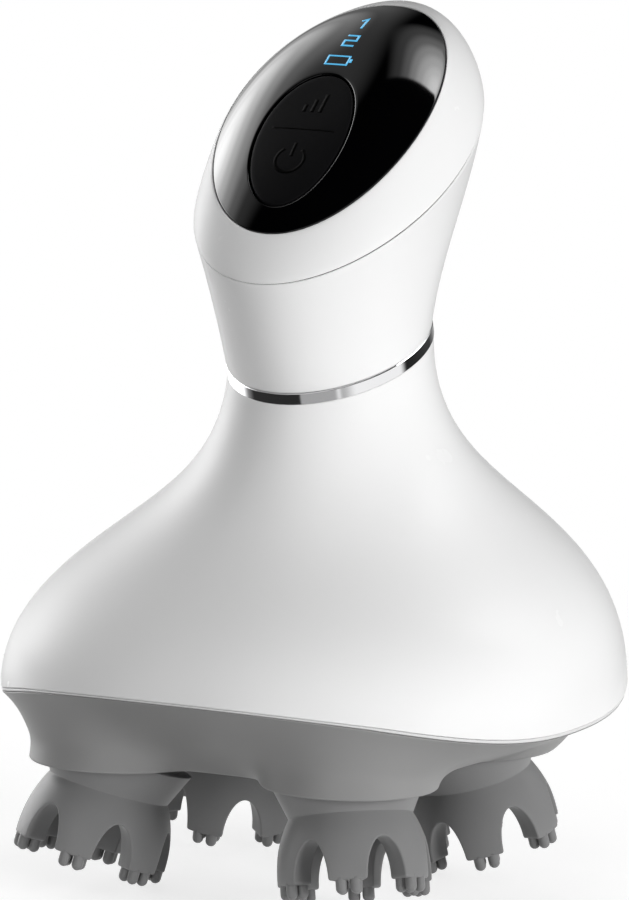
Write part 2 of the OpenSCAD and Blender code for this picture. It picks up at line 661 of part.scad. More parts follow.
hub_bottom = boss_top + 1;
shaft_top = bevel_s + bevel_face/2 + 1.2;
module head_shaft(k) {
    color("silver")
        at_head(k) {
            translate([0, 0, head_top - bore_deep]) cylinder(h = shaft_top - head_top + bore_deep, r = shaft_r);
            translate([0, 0, head_top]) cylinder(h = boss_bottom - head_top - 0.2, r = shaft_r + 1);
        }
}
module head_shaft_1() { head_shaft(0); }
module head_shaft_2() { head_shaft(1); }
module head_shaft_3() { head_shaft(2); }
module head_shaft_4() { head_shaft(3); }
module head_gear(k) {
    color([0.9, 0.88, 0.8])
        at_head(k)
            difference() {
                union() {
                    translate([0, 0, bevel_s])
                        rotate(mesh_turn(bevel_teeth, bevel_teeth, 0, head_az[k]) - head_az[k]) bevel();
                    translate([0, 0, hub_bottom]) cylinder(h = bevel_s - hub_bottom, r = 4);
                }
                cylinder(h = 40, r = shaft_r);
            }
}
module head_gear_1() { head_gear(0); }
module head_gear_2() { head_gear(1); }
module head_gear_3() { head_gear(2); }
module head_gear_4() { head_gear(3); }

// ---- gear train ----
module drive_gear() {
    color([0.9, 0.88, 0.8])
        at_cluster()
            difference() {
                union() {
                    translate([0, 0, bevel_z]) bevel();
                    translate([0, 0, bevel_z]) cylinder(h = spur_z - bevel_z + 1, r = 5);
                    translate([0, 0, spur_z]) spur(spur_teeth, spur_module, spur_face);
                }
                cylinder(h = 100, r = pin_r + run_gap);
            }
}
module drive_pin() {
    color("silver") at_cluster() translate([0, 0, plate_z]) cylinder(h = cover_top - plate_z, r = pin_r);
}
module reduction_gear() {
    color([0.9, 0.88, 0.8])
        at_cluster() translate([step_x, step_y, 0])
            difference() {
                union() {
                    translate([0, 0, spur_z - 0.4])
                        spur(step_teeth, spur_module, wheel_z - spur_z + 0.6, step_turn);
                    translate([0, 0, wheel_z]) spur(wheel_teeth, pinion_module, wheel_face, step_turn);
                }
                cylinder(h = 100, r = step_pin_r + run_gap);
            }
}
module reduction_pin() {
    color("silver")
        at_cluster() translate([step_x, step_y, 0]) {
            translate([0, 0, plate_z]) cylinder(h = cover_top - plate_z, r = step_pin_r);
            translate([0, 0, plate_top + 1]) cylinder(h = spur_z - plate_top - 1.6, r = step_pin_r + 0.5);
        }
}
motor_boss_r = 3;
motor_screw_x = 6.5; // distance of the motor's screws from its axis
rotor_r = 1;
module motor() {
    color([0.7, 0.71, 0.73])
        at_motor()
            difference() {
                union() {
                    translate([0, 0, cover_top]) cylinder(h = motor_l - 1.5, r = motor_r);
                    translate([0, 0, cover_top + motor_l - 1.5]) cylinder(h = 1.5, r = motor_r - 1);
                    translate([0, 0, cover_z]) cylinder(h = cover_t + 1, r = motor_boss_r);
                }
                cylinder(h = cover_top + 12, r = rotor_r + run_gap);
                for (s = [-1, 1])
                    translate([motor_screw_x*s, 0, cover_top - 1]) cylinder(h = 4.2, r = screw_r);
            }
}
module motor_shaft() {
    color("silver") at_motor() translate([0, 0, wheel_z - 0.3]) cylinder(h = cover_top + 11 - wheel_z, r = rotor_r);
}
module motor_pinion() {
    color([0.8, 0.7, 0.4])
        at_motor()
            difference() {
                translate([0, 0, wheel_z - 0.3]) spur(pinion_teeth, pinion_module, wheel_face + 0.6, pinion_turn);
                cylinder(h = 100, r = rotor_r);
            }
}

// ---- battery, board and socket ----
motor_top = cover_top + motor_l;
cell_y = 5;
cell_z = motor_top + 1.8;
lead_r = 0.6;
lead_x = 5.4;
lead_y = -5.2;
module battery_cradle() {
    color([0.2, 0.2, 0.21])
        difference() {
            union() {
                translate([0, cell_y, motor_top]) cylinder(h = cell_l*0.8, r = cell_r + 1.4);
                translate([0, 3, motor_top]) cylinder(h = cell_z - motor_top, r = 10.6);
            }
            translate([0, cell_y, cell_z]) cylinder(h = 100, r = cell_r + 0.1);
            translate([-4, cell_y - cell_r - 5, cell_z]) cube([8, 8, 60]);
            for (s = [-1, 1]) translate([s*lead_x, lead_y, 0]) cylinder(h = 100, r = 1);
        }
}
module battery_cell() {
    color([0.2, 0.45, 0.6])
        translate([0, cell_y, cell_z]) {
            cylinder(h = cell_l - 0.8, r = cell_r);
            cylinder(h = cell_l, r = 2.6);
        }
}
board_h = -6.4; // board's upper face in the panel's frame
board_t = 1.6;
board_half_w = 13;
board_half_l = 22;
function board_under(y) =
    let (p = in_panel(0, 0, board_h - board_t)) p[2] + (y - p[1])*tan(panel_tilt);
module motor_leads() {
    color([0.7, 0.1, 0.1])
        for (s = [-1, 1])
            translate([s*lead_x, lead_y, motor_top])
                cylinder(h = board_under(lead_y) - motor_top - lead_r, r = lead_r);
}
module battery_leads() {
    color([0.1, 0.1, 0.1])
        for (s = [-1, 1])
            translate([s*4.4, cell_y, cell_z + cell_l - 0.8])
                cylinder(h = board_under(cell_y) - cell_z - cell_l + 0.8 - lead_r, r = lead_r);
}
post_v = 16;
post_x = 8.8;
board_post_h = -panel_t - 1 + dome(post_x, post_v) - board_h;
module board_posts() {
    for (x = [-1, 1], v = [-1, 1]) at_panel(x*post_x, v*post_v, board_h) children();
}
module main_board() {
    color([0.1, 0.4, 0.2])
        difference() {
            at_panel(0, 0, board_h - board_t)
                linear_extrude(board_t) scale([1, board_half_l/board_half_w]) circle(r = board_half_w);
            board_posts() translate([0, 0, -5]) cylinder(h = 10, r = screw_r);
        }
}
module board_screws() {
    color("silver") board_posts() translate([0, 0, -board_t]) screw(board_t + 2.5);
}
switch_h = 3.4;
switch_top = board_h + switch_h;
rock_gap = 0.35;
module button_switches() {
    color([0.2, 0.2, 0.2])
        for (s = [-1, 1])
            at_panel(0, button_v + s*rock_v, board_h) {
                translate([0, 0, 1]) cube([4.6, 4.6, 2], center = true);
                cylinder(h = switch_h, r = 1.3);
            }
}
lamp_v = [6.9, 11.5, 15.8];
lamp_w = 4.2;
lamp_l = 3;
module display_lamps() {
    color([0.85, 0.9, 1])
        for (v = lamp_v) at_panel(0, v, board_h + 0.5) cube([3, 1.6, 1], center = true);
}
module light_guide() {
    top = dome(0, lamp_v[2] + 2.6) - panel_t - 0.3;
    color([0.15, 0.15, 0.15])
        difference() {
            at_panel(0, lamp_v[1] - 0.1, (board_h + top)/2)
                cube([lamp_w + 1.6, lamp_v[2] - lamp_v[0] + lamp_l + 1.6, top - board_h], center = true);
            for (v = lamp_v) at_panel(0, v, 0) cube([lamp_w, lamp_l, 40], center = true);
        }
}
port_v = 0.25; // level of the charging socket on the neck
port_deep = 5.8;
port_inset = 1.3; // depth of the socket's rim in the neck's wall
module at_port() {
    rise = neck_pt(port_v + 0.05, 0, 90) - neck_pt(port_v - 0.05, 0, 90);
    translate(neck_pt(port_v, 0, 90)) rotate([-90 - atan2(rise[1], rise[2]), 0, 0]) children();
}
// The socket's housing, running in from the neck's back for a length l, grown by g
module port_block(l, g = 0) {
    translate([0, 0, -port_deep - g]) linear_extrude(l) slot(port_w + 1.6 + 2*g, port_h + 1.6 + 2*g);
}
module slot(w, h) {
    square([w - h, h], center = true);
    for (s = [-1, 1]) translate([s*(w - h)/2, 0]) circle(r = h/2);
}
module charging_socket() {
    color([0.3, 0.3, 0.32])
        at_port()
            difference() {
                port_block(port_deep - port_inset);
                translate([0, 0, -port_deep + 1]) linear_extrude(port_deep)
                    difference() {
                        slot(port_w, port_h);
                        square([port_w - 2.4, 0.7], center = true);
                    }
                translate([0, 0, -port_inset - 0.8]) linear_extrude(port_deep) slot(port_w, port_h);
            }
}

body_shell();
neck_shell();
chrome_ring();
upper_cap();
display_panel();
rocker_button();
button_hinge_pin();
base_skirt();
rim_seal();
base_plate();
gearbox_cover();
base_screws();
shell_screws();
motor_screws();
shaft_bushes();
massage_head_1();
massage_head_2();
massage_head_3();
massage_head_4();
head_shaft_1();
head_shaft_2();
head_shaft_3();
head_shaft_4();
head_gear_1();
head_gear_2();
head_gear_3();
head_gear_4();
drive_gear();
drive_pin();
reduction_gear();
reduction_pin();
motor();
motor_shaft();
motor_pinion();
motor_leads();
battery_cradle();
battery_cell();
battery_leads();
main_board();
board_screws();
button_switches();
display_lamps();
light_guide();
charging_socket();
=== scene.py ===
import json
import math

import bmesh
import bpy
import numpy as np
from mathutils import Matrix, Vector
from mathutils.kdtree import KDTree

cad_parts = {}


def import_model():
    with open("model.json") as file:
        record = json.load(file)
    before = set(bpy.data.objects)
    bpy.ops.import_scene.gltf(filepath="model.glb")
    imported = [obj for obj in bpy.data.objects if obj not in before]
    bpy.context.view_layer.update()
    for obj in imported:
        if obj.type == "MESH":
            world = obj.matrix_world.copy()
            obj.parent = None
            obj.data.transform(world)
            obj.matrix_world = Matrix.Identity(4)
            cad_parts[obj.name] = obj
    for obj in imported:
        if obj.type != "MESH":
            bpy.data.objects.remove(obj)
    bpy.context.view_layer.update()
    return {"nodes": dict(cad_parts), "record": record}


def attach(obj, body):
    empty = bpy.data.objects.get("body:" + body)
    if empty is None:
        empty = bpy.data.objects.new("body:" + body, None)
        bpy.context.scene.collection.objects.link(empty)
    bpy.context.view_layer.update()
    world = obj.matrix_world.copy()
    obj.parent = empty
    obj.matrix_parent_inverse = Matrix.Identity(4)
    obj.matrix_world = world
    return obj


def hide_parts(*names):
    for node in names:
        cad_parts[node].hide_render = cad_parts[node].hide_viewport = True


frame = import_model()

MM = 0.001

# ---- sizes in mm, after the CAD source; seal, skirt hollow, legs, nubs and seam differ a little ----
AROUND = 192              # points round each moulded shell
WALL = 1.8
BELL_W, BELL_Z, BELL_SQUARE = 46.0, 30.65, 2.35
PULL_TOP, PULL_LOW = 26.7, 24.1
RIM_Z, RIM_WAVE, RIM_LEAN = 31.2, 4.0, 2.2
SEAL_H, SEAL_GAP, SEAL_INSET = 0.42, 0.07, 0.1
RING_Y, RING_Z, RING_W, RING_D, RING_TILT, RING_H = 2.5, 80.7, 15.1, 18.5, 19.4, 1.9
SEAM_Y, SEAM_Z, SEAM_W, SEAM_D, SEAM_TILT = 4.3, 108.7, 20.4, 31.1, 31.2
PANEL_Y, PANEL_Z, PANEL_W, PANEL_D, PANEL_TILT = 0.5, 116.6, 16.6, 26.1, 37.3
DOME_H, DOME_DROP, DOME_P, DOME_C, PANEL_T = 4.3, 1.1, 3.65, 0.042, 1.5
PANEL_GAP, SEAT_IN, LEDGE, LEDGE_T = 0.12, 0.5, 2.2, 1.4
BUTTON_W, BUTTON_D, BUTTON_V, BUTTON_GAP, BUTTON_T = 7.2, 12.6, -9.1, 0.35, 2.0
SPIGOT_GAP, SPIGOT_T, LIP_V, TONGUE_U = 0.2, 1.3, 0.88, 0.9
CLUSTER_Y, COLLAR_Z, COLLAR_R, SKIRT_WALL = -7.1, 19.5, 13.5, 1.2
WEB_FRONT, WEB_SIDE = 23.0, 27.0
HOLLOW, HOLLOW_AT, HOLLOW_WIDE = 0.3, 0.33, 0.18   # depth, height share and spread of the skirt's hollow
OUTLINE_STEP = 0.5         # distance between points of the skirt's outline
HEAD_CIRCLE, HEAD_TILT = 27.7, 16.0
HEAD_AZ = (225, 315, 45, 135)
LEG_PHASE = (-1, -23, 9, 24)
LEGS, WAIST_R, TIP_R, WAIST_S, LEG_L, LEG_T = 6, 9.3, 11.7, 4.6, 10.2, 3.5
ARCH_W, ARCH_S, FLARE, HEAD_TOP, BORE_DEEP, SHAFT_R = 3.1, 3.9, 0.45, 0.5, 4.4, 1.5
NUB_R, NUB_L, NUB_OUT, NUB_ACROSS = 0.85, 2.05, 0.87, 1.08
HUB_R, HUB_TOP = 7.6, 1.8   # raised middle of a head, inside its collar
SEAM_LINE = 0.3            # how far the neck stops short of the seam
CAP_SHARE = 1/11           # share of the cap's wall left out for each mm of that: more where the wall is long
PORT_V, PORT_W, PORT_H, PORT_WALL = 0.25, 8.6, 2.8, 0.8


# ---- curves ----
def rad(degrees):
    return math.radians(degrees)


def bez(a, b, c, d, t):
    return a*(1 - t)**3 + 3*b*t*(1 - t)**2 + 3*c*t*t*(1 - t) + d*t**3


def mix(a, b, t):
    return a + (b - a)*t


def smooth(t):
    return t*t*(3 - 2*t)


def se(c, n):
    return np.sign(c)*np.abs(c)**(2/n)


def circle(n=AROUND):
    return np.arange(n)*2*math.pi/n


def oval(y, z, w, d, tilt, n, a):
    v = d*se(np.sin(a), n)
    return np.stack([w*se(np.cos(a), n), y + v*np.cos(tilt), z + v*np.sin(tilt)], -1)


TOP_Z = RING_Z - math.cos(rad(RING_TILT))*RING_H/2
TOP_Y = RING_Y + math.sin(rad(RING_TILT))*RING_H/2


def bell(u, inset, a):
    """A ring of the bell's surface: u is 0 at the widest level and 1 at the chrome ring."""
    z = bez(BELL_Z, BELL_Z + PULL_LOW, TOP_Z - PULL_TOP, TOP_Z, u)
    f = np.maximum(0, (z - BELL_Z)/(TOP_Z - BELL_Z))
    w = bez(BELL_W, BELL_W, RING_W + 0.3, RING_W, u)
    d = bez(BELL_W, BELL_W, RING_D + 0.3, RING_D, u)
    return oval(TOP_Y*f, z, w - inset, d - inset, rad(RING_TILT)*f**1.07, mix(BELL_SQUARE, 2, f**0.74), a)


def rim_u(a, lift=0.0):
    """The value of u on the wavy rim, lifted by that many mm."""
    return (RIM_Z - RIM_WAVE*np.cos(2*a) + RIM_LEAN*np.sin(a) + lift - BELL_Z)/(3*PULL_LOW)


NECK_Y = RING_Y - math.sin(rad(RING_TILT))*RING_H/2
NECK_Z = RING_Z + math.cos(rad(RING_TILT))*RING_H/2


def neck(v, inset, a):
    """A ring of the neck: v is 0 at the chrome ring and 1 at the cap's seam."""
    back, front = mix(RING_D, SEAM_D, smooth(v)**1.56), mix(RING_D, SEAM_D, v**0.9)
    tilt = rad(mix(RING_TILT, SEAM_TILT, v**3))
    return oval(mix(NECK_Y, SEAM_Y, v), mix(NECK_Z, SEAM_Z, v), mix(RING_W, SEAM_W, v**1.31) - inset,
                np.where(np.sin(a) > 0, back, front) - inset, tilt, 2, a)


PANEL_C = np.array([0, PANEL_Y, PANEL_Z])
PANEL_UP = np.array([0, math.cos(rad(PANEL_TILT)), math.sin(rad(PANEL_TILT))])
PANEL_OUT = np.array([0, -math.sin(rad(PANEL_TILT)), math.cos(rad(PANEL_TILT))])
SEAM_OUT = np.array([0, -math.sin(rad(SEAM_TILT)), math.cos(rad(SEAM_TILT))])
X = np.array([1.0, 0, 0])


def on_panel(x, v, h):
    """A point in the panel's frame: x across, v up its slope, h out of it."""
    x, v, h = np.broadcast_arrays(x, v, h)
    return PANEL_C + x[..., None]*X + v[..., None]*PANEL_UP + h[..., None]*PANEL_OUT


def dome(x, v):
    r = np.hypot(x/PANEL_W, v/PANEL_D)
    return (DOME_H + DOME_C*v)*(1 - r**DOME_P) - DOME_DROP*(v/PANEL_D)**2


def on_dome(x, v, lift=0.0):
    return on_panel(x, v, dome(x, v) + lift)


def panel_ring(inset, lift, a):
    return on_dome((PANEL_W - inset)*np.cos(a), (PANEL_D - inset)*np.sin(a), lift)


def cap(v, inset, a):
    """A ring of the cap's wall: v is 0 at the seam and 1 at the panel's outline."""
    s = oval(SEAM_Y, SEAM_Z, SEAM_W - inset, SEAM_D - inset, rad(SEAM_TILT), 2, a)
    q = on_panel((PANEL_W - inset)*np.cos(a), (PANEL_D - inset)*np.sin(a), -DOME_DROP*np.sin(a)**2)
    bulge = 0.5 + (8.4 - 0.5)*np.sin(a)**2*(1 + np.sin(a))/2
    e = (PANEL_W*np.cos(a))[:, None]*X + (PANEL_D*np.sin(a))[:, None]*PANEL_UP
    e = e/np.linalg.norm(e, axis=1)[:, None]
    return bez(s, s + bulge[:, None]*(SEAM_OUT + 0.4*e), q + 0.6*(e + 0.5*PANEL_OUT), q, v)


# ---- meshes ----
class Form:
    """Points and faces of one piece, in mm."""

    def __init__(self):
        self.points, self.faces = [], []

    def add(self, points, faces):
        base = len(self.points)
        self.points.extend(tuple(p) for p in np.asarray(points, float))
        self.faces.extend(tuple(base + i for i in f) for f in faces)
        return self

    def loft(self, rings, wrap=False, first=None, last=None):
        """Quads between closed rings. wrap joins the last to the first; first and last are end points."""
        n, k = len(rings[0]), len(rings)
        points = [p for r in rings for p in r]
        faces = []
        for j in range(k if wrap else k - 1):
            lo, hi = j*n, (j + 1) % k*n
            faces += [(lo + i, lo + (i + 1) % n, hi + (i + 1) % n, hi + i) for i in range(n)]
        if first is not None:
            points.append(first)
            faces += [(len(points) - 1, (i + 1) % n, i) for i in range(n)]
        if last is not None:
            points.append(last)
            faces += [(len(points) - 1, (k - 1)*n + i, (k - 1)*n + (i + 1) % n) for i in range(n)]
        return self.add(points, faces)

    def turned(self, profile, place=None, n=48):
        """A solid of revolution from (radius, height) pairs; its end points lie on the axis."""
        a = circle(n)
        place = place or (lambda p: p)
        rings = [place(np.stack([r*np.cos(a), r*np.sin(a), np.full(n, h)], -1)) for r, h in profile[1:-1]]
        ends = [place(np.array([[0.0, 0.0, profile[i][1]]]))[0] for i in (0, -1)]
        return self.loft(rings, first=ends[0], last=ends[1])


def piece(name, form, material, body, node, edge=0.0, edge_angle=35, painted_shade=None):
    """Makes a piece that stands for a CAD node; edge is the radius of its rounded edges, in mm.
    The optional second material, with the rows of faces that take it counted along the loft, is painted
    shade: a dark colour laid on the walls of a groove."""
    mesh = bpy.data.meshes.new(name)
    mesh.from_pydata([[c*MM for c in p] for p in form.points], [], form.faces)
    bm = bmesh.new()
    bm.from_mesh(mesh)
    bmesh.ops.recalc_face_normals(bm, faces=bm.faces)
    for f in bm.faces:
        f.smooth = True
    bm.to_mesh(mesh)
    bm.free()
    obj = bpy.data.objects.new(name, mesh)
    bpy.context.scene.collection.objects.link(obj)
    mesh.materials.append(material)
    if painted_shade:
        mesh.materials.append(painted_shade[0])
        for poly in mesh.polygons:
            if poly.index//AROUND in painted_shade[1]:
                poly.material_index = 1
    if edge:
        rounding = obj.modifiers.new("edges", "BEVEL")
        rounding.width, rounding.segments = edge*MM, 3
        rounding.limit_method, rounding.angle_limit = "ANGLE", rad(edge_angle)
        weighted = obj.modifiers.new("normals", "WEIGHTED_NORMAL")
        weighted.keep_sharp = True
    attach(obj, body)
    if node:
        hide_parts(node)
    return obj


# ---- materials ----
def nodes_of(name):
    m = bpy.data.materials.new(name)
    m.use_nodes = True
    tree = m.node_tree
    shader = tree.nodes["Principled BSDF"]
    where = tree.nodes.new("ShaderNodeTexCoord")
    return m, tree, shader, where.outputs["Object"]


def noise(tree, where, size_mm, detail=2.0):
    n = tree.nodes.new("ShaderNodeTexNoise")
    n.inputs["Scale"].default_value = 1/(size_mm*MM)
    n.inputs["Detail"].default_value = detail
    tree.links.new(where, n.inputs["Vector"])
    return n.outputs["Fac"]


def spread(tree, fac, low, high):
    """Maps a noise onto low..high."""
    m = tree.nodes.new("ShaderNodeMapRange")
    m.inputs["To Min"].default_value, m.inputs["To Max"].default_value = low, high
    tree.links.new(fac, m.inputs["Value"])
    return m.outputs["Result"]


def tint(tree, fac, dark, light):
    m = tree.nodes.new("ShaderNodeMix")
    m.data_type = "RGBA"
    sockets = {s.identifier: s for s in [*m.inputs, *m.outputs]}
    sockets["A_Color"].default_value, sockets["B_Color"].default_value = (*dark, 1), (*light, 1)
    tree.links.new(spread(tree, fac, 0, 1), sockets["Factor_Float"])
    return sockets["Result_Color"]


def bump(tree, shader, fac, height_mm):
    b = tree.nodes.new("ShaderNodeBump")
    b.inputs["Strength"].default_value = 1.0
    b.inputs["Distance"].default_value = height_mm*MM
    tree.links.new(fac, b.inputs["Height"])
    tree.links.new(b.outputs["Normal"], shader.inputs["Normal"])


def surface(name, colour, roughness, vary=0.06, rough_vary=0.04, blotch=9.0, grain=None, grain_h=0.01,
            metallic=0.0, sheen=0.0, specular=0.5):
    """A moulded or metal surface: a slow change of tone, a change of roughness and a fine grain."""
    m, tree, shader, where = nodes_of(name)
    slow = noise(tree, where, blotch, 3)
    dark = [c*(1 - vary) for c in colour]
    tree.links.new(tint(tree, slow, dark, colour), shader.inputs["Base Color"])
    fine = noise(tree, where, blotch/4, 4)
    rough = spread(tree, fine, roughness - rough_vary, roughness + rough_vary)
    tree.links.new(rough, shader.inputs["Roughness"])
    shader.inputs["Metallic"].default_value = metallic
    shader.inputs["Sheen Weight"].default_value = sheen
    shader.inputs["Specular IOR Level"].default_value = specular
    if grain:
        bump(tree, shader, noise(tree, where, grain, 2), grain_h)
    return m


def glow(name, colour, strength):
    m, tree, shader, where = nodes_of(name)
    shader.inputs["Base Color"].default_value = (*[c*0.3 for c in colour], 1)
    shader.inputs["Roughness"].default_value = 0.2
    tree.links.new(tint(tree, noise(tree, where, 0.8), [c*0.9 for c in colour], colour),
                   shader.inputs["Emission Color"])
    shader.inputs["Emission Strength"].default_value = strength
    return m


WHITE = surface("white_gloss", (0.86, 0.86, 0.86), 0.26, vary=0.02, rough_vary=0.03, blotch=30, grain=1.6,
                grain_h=0.002, specular=0.18)
CHROME = surface("chrome_plate", (0.86, 0.86, 0.87), 0.06, vary=0.02, rough_vary=0.02, blotch=6, metallic=1.0)
BLACK = surface("panel_gloss", (0.0008, 0.0008, 0.001), 0.05, vary=0.2, rough_vary=0.015, blotch=12,
                specular=1.0)
MATT = surface("button_matt", (0.0055, 0.0055, 0.006), 0.5, vary=0.15, rough_vary=0.04, blotch=5, grain=0.22,
               grain_h=0.004, specular=0.04)
MARK = surface("button_mark", (0.0012, 0.0012, 0.0012), 0.5, vary=0.1, blotch=3, specular=0.02)
# painted shade: this dark colour on the seam groove's walls stands for the shadow deep in the parting line
SEAM_SHADE = surface("painted_seam_shade", (0.045, 0.045, 0.045), 0.7, vary=0.1, blotch=5, specular=0.1)
SOFT_GREY = surface("soft_touch_grey", (0.272, 0.271, 0.27), 0.5, vary=0.05, rough_vary=0.05, blotch=14,
                    grain=0.3, grain_h=0.006, sheen=0.1)
SEAL = surface("seal_satin", (0.72, 0.72, 0.72), 0.4, vary=0.05, blotch=8, grain=0.4, grain_h=0.004)
SILICONE = surface("silicone_grey", (0.215, 0.215, 0.216), 0.46, vary=0.07, rough_vary=0.06, blotch=5,
                   grain=0.35, grain_h=0.008, sheen=0.15)
LIT = glow("lit_mark", (0.09, 0.46, 0.78), 0.9)
INNER = {
    "inner_plastic": surface("inner_plastic", (0.1, 0.1, 0.105), 0.5, grain=0.4, grain_h=0.01),
    "steel": surface("turned_steel", (0.56, 0.57, 0.58), 0.28, metallic=1.0, grain=0.3, grain_h=0.002),
    "bronze": surface("sintered_bronze", (0.42, 0.27, 0.12), 0.4, metallic=1.0, grain=0.2, grain_h=0.006),
    "gear_plastic": surface("acetal", (0.72, 0.69, 0.58), 0.38, grain=0.5, grain_h=0.003),
    "brass": surface("cut_brass", (0.62, 0.45, 0.18), 0.25, metallic=1.0),
    "lead_red": surface("red_wire", (0.4, 0.02, 0.02), 0.45, grain=0.3, grain_h=0.004),
    "lead_black": surface("black_wire", (0.015, 0.015, 0.015), 0.45, grain=0.3, grain_h=0.004),
    "cell_wrap": surface("cell_wrap", (0.06, 0.2, 0.34), 0.25, grain=1.0, grain_h=0.003),
    "board_green": surface("solder_mask", (0.015, 0.12, 0.05), 0.35, grain=0.5, grain_h=0.006),
    "lamp": surface("lamp_clear", (0.4, 0.7, 0.9), 0.15, grain=0.8, grain_h=0.002),
    "button_black": MATT,
    "silicone": SILICONE,
}
SLOTS = {s["node"]: s["material_slot"] for s in frame["record"]["subparts"]}
for node_name, node_object in frame["nodes"].items():
    dressing = INNER.get(SLOTS[node_name])
    if dressing:
        for material_slot in node_object.material_slots:
            material_slot.material = dressing


# ---- white shells ----
def body_shell():
    a = circle()
    low = rim_u(a, SEAL_H/2 + SEAL_GAP)
    outer = [bell(mix(low, 1, t), 0, a) for t in np.linspace(0, 1, 44)]
    inner = [bell(mix(low, 1, t), WALL, a) for t in np.linspace(1, 0, 14)]
    form = Form().loft(outer + inner, wrap=True)
    piece("bell_shell", form, WHITE, "body", "body_shell", edge=0.16)


def port_frame():
    """The charging socket's place: its middle and the directions across, up and out of the neck's back."""
    back = np.array([math.pi/2])
    at, low, high = (neck(PORT_V + dv, 0, back)[0] for dv in (0, -0.05, 0.05))
    up = (high - low)/np.linalg.norm(high - low)
    return at, X, up, np.cross(up, X)*-1


def slot_ring(w, h, n=24):
    """An upright slot's outline, half circles joined by straight sides."""
    t = np.linspace(-math.pi/2, math.pi/2, n)
    right = np.stack([(w - h)/2 + h/2*np.cos(t), h/2*np.sin(t)], -1)
    return np.concatenate([right, -right])


def cut(obj, cutter):
    """Takes cutter's form out of obj, keeping obj's own smooth normals beside the cut."""
    before = obj.data.copy()
    tree = KDTree(len(before.vertices))
    for v in before.vertices:
        tree.insert(v.co, v.index)
    tree.balance()
    normals = [v.normal.copy() for v in before.vertices]
    tool = bpy.data.objects.new("cutter", bpy.data.meshes.new("cutter"))
    tool.data.from_pydata([[c*MM for c in p] for p in cutter.points], [], cutter.faces)
    bpy.context.scene.collection.objects.link(tool)
    step = obj.modifiers.new("cut", "BOOLEAN")
    step.operation, step.object, step.solver = "DIFFERENCE", tool, "EXACT"
    result = bpy.data.meshes.new_from_object(obj.evaluated_get(bpy.context.evaluated_depsgraph_get()))
    obj.modifiers.clear()
    obj.data = result
    bpy.data.objects.remove(tool)
    loops = []
    for poly in result.polygons:
        poly.use_smooth = True
        for vi in poly.vertices:
            near = normals[tree.find(result.vertices[vi].co)[1]]
            loops.append(near if near.dot(poly.normal) > 0.8 else poly.normal)
    result.normals_split_custom_set(loops)


def neck_shell():
    a = circle()
    deep = WALL + SPIGOT_GAP + SPIGOT_T
    soft = 0.25
    top = 1 - SEAM_LINE/(SEAM_Z - RING_Z)
    outer = [neck(v, 0, a) for v in np.linspace(0.012, top - 0.01, 34)]
    foot = [neck(0, soft, a), neck(0.004, 0.07, a)]
    brow = [neck(top - 0.004, 0.05, a), neck(top, 0.17, a), neck(top, WALL*0.6, a)]
    inner = [neck(v, mix(deep, WALL, min(1, 3*v)), a) for v in (top, LIP_V, 0.7, 0.5, 0.3, 0.15, 0)]
    tongue = [bell(1, deep, a), bell(TONGUE_U, deep, a), bell(TONGUE_U, WALL + SPIGOT_GAP, a),
              bell(1, WALL + SPIGOT_GAP, a), neck(0, WALL + SPIGOT_GAP, a)]
    form = Form().loft(foot + outer + brow + inner + tongue, wrap=True)
    first = len(foot + outer)
    # the walls of the seam groove take the painted shade
    obj = piece("neck_sleeve", form, WHITE, "body", "neck_shell",
                painted_shade=(SEAM_SHADE, (first + 1, first + 2)))
    at, across, up, out = port_frame()
    outline = slot_ring(PORT_W + 2*PORT_WALL + 0.1, PORT_H + 2*PORT_WALL + 0.1)
    rings = [at + outline[:, :1]*across + outline[:, 1:]*up + out*d for d in (-6.0, 3.0)]
    cut(obj, Form().loft(rings, first=rings[0].mean(0), last=rings[1].mean(0)))


def chrome_ring():
    """The band is turned upright, so its face takes the normals of an upright ring."""
    a = circle()
    proud = -0.06
    low, high = bell(1, proud, a), neck(0, proud, a)
    face = [mix(low, high, t) for t in (0.06, 0.3, 0.7, 0.94)]
    rings = [bell(1, 0.1, a)] + face + [neck(0, 0.1, a), neck(0, WALL, a), bell(1, WALL, a)]
    obj = piece("chrome_band", Form().loft(rings, wrap=True), CHROME, "body", "chrome_ring")
    upright = np.stack([np.cos(a)/RING_W, np.sin(a)/(RING_D*math.cos(rad(RING_TILT))), 0*a], -1)
    upright /= np.linalg.norm(upright, axis=1)[:, None]
    loops = []
    for poly in obj.data.polygons:
        on_face = all(AROUND <= i < 5*AROUND for i in poly.vertices)
        loops += [tuple(upright[i % AROUND]) if on_face else tuple(poly.normal) for i in poly.vertices]
    obj.data.normals_split_custom_set(loops)


def upper_cap():
    a = circle()
    deep = WALL + SPIGOT_GAP + SPIGOT_T
    low = SEAM_LINE*CAP_SHARE
    outer = [cap(low, WALL*0.6, a), cap(low, 0.17, a), cap(low + 0.008, 0.05, a)]
    outer += [cap(v, 0, a) for v in np.linspace(low + 0.022, 1, 30)]
    seat = [panel_ring(SEAT_IN, -PANEL_T, a), panel_ring(LEDGE, -PANEL_T, a),
            panel_ring(LEDGE, -PANEL_T - LEDGE_T, a)]
    inner = [cap(0.6, WALL, a), cap(0.45, WALL, a), cap(0.3, WALL, a), cap(0.12, deep, a)]
    lip = [neck(1, deep, a), neck(LIP_V, deep, a), neck(LIP_V, WALL + SPIGOT_GAP, a),
           neck(1, WALL + SPIGOT_GAP, a)]
    form = Form().loft(outer + seat + inner + lip, wrap=True)
    last = len(outer + seat + inner + lip) - 1
    # the walls of the seam groove and the lip inside it take the painted shade
    piece("cap_shell", form, WHITE, "body", "upper_cap", edge=0.16, edge_angle=30,
          painted_shade=(SEAM_SHADE, (0, last - 1, last)))


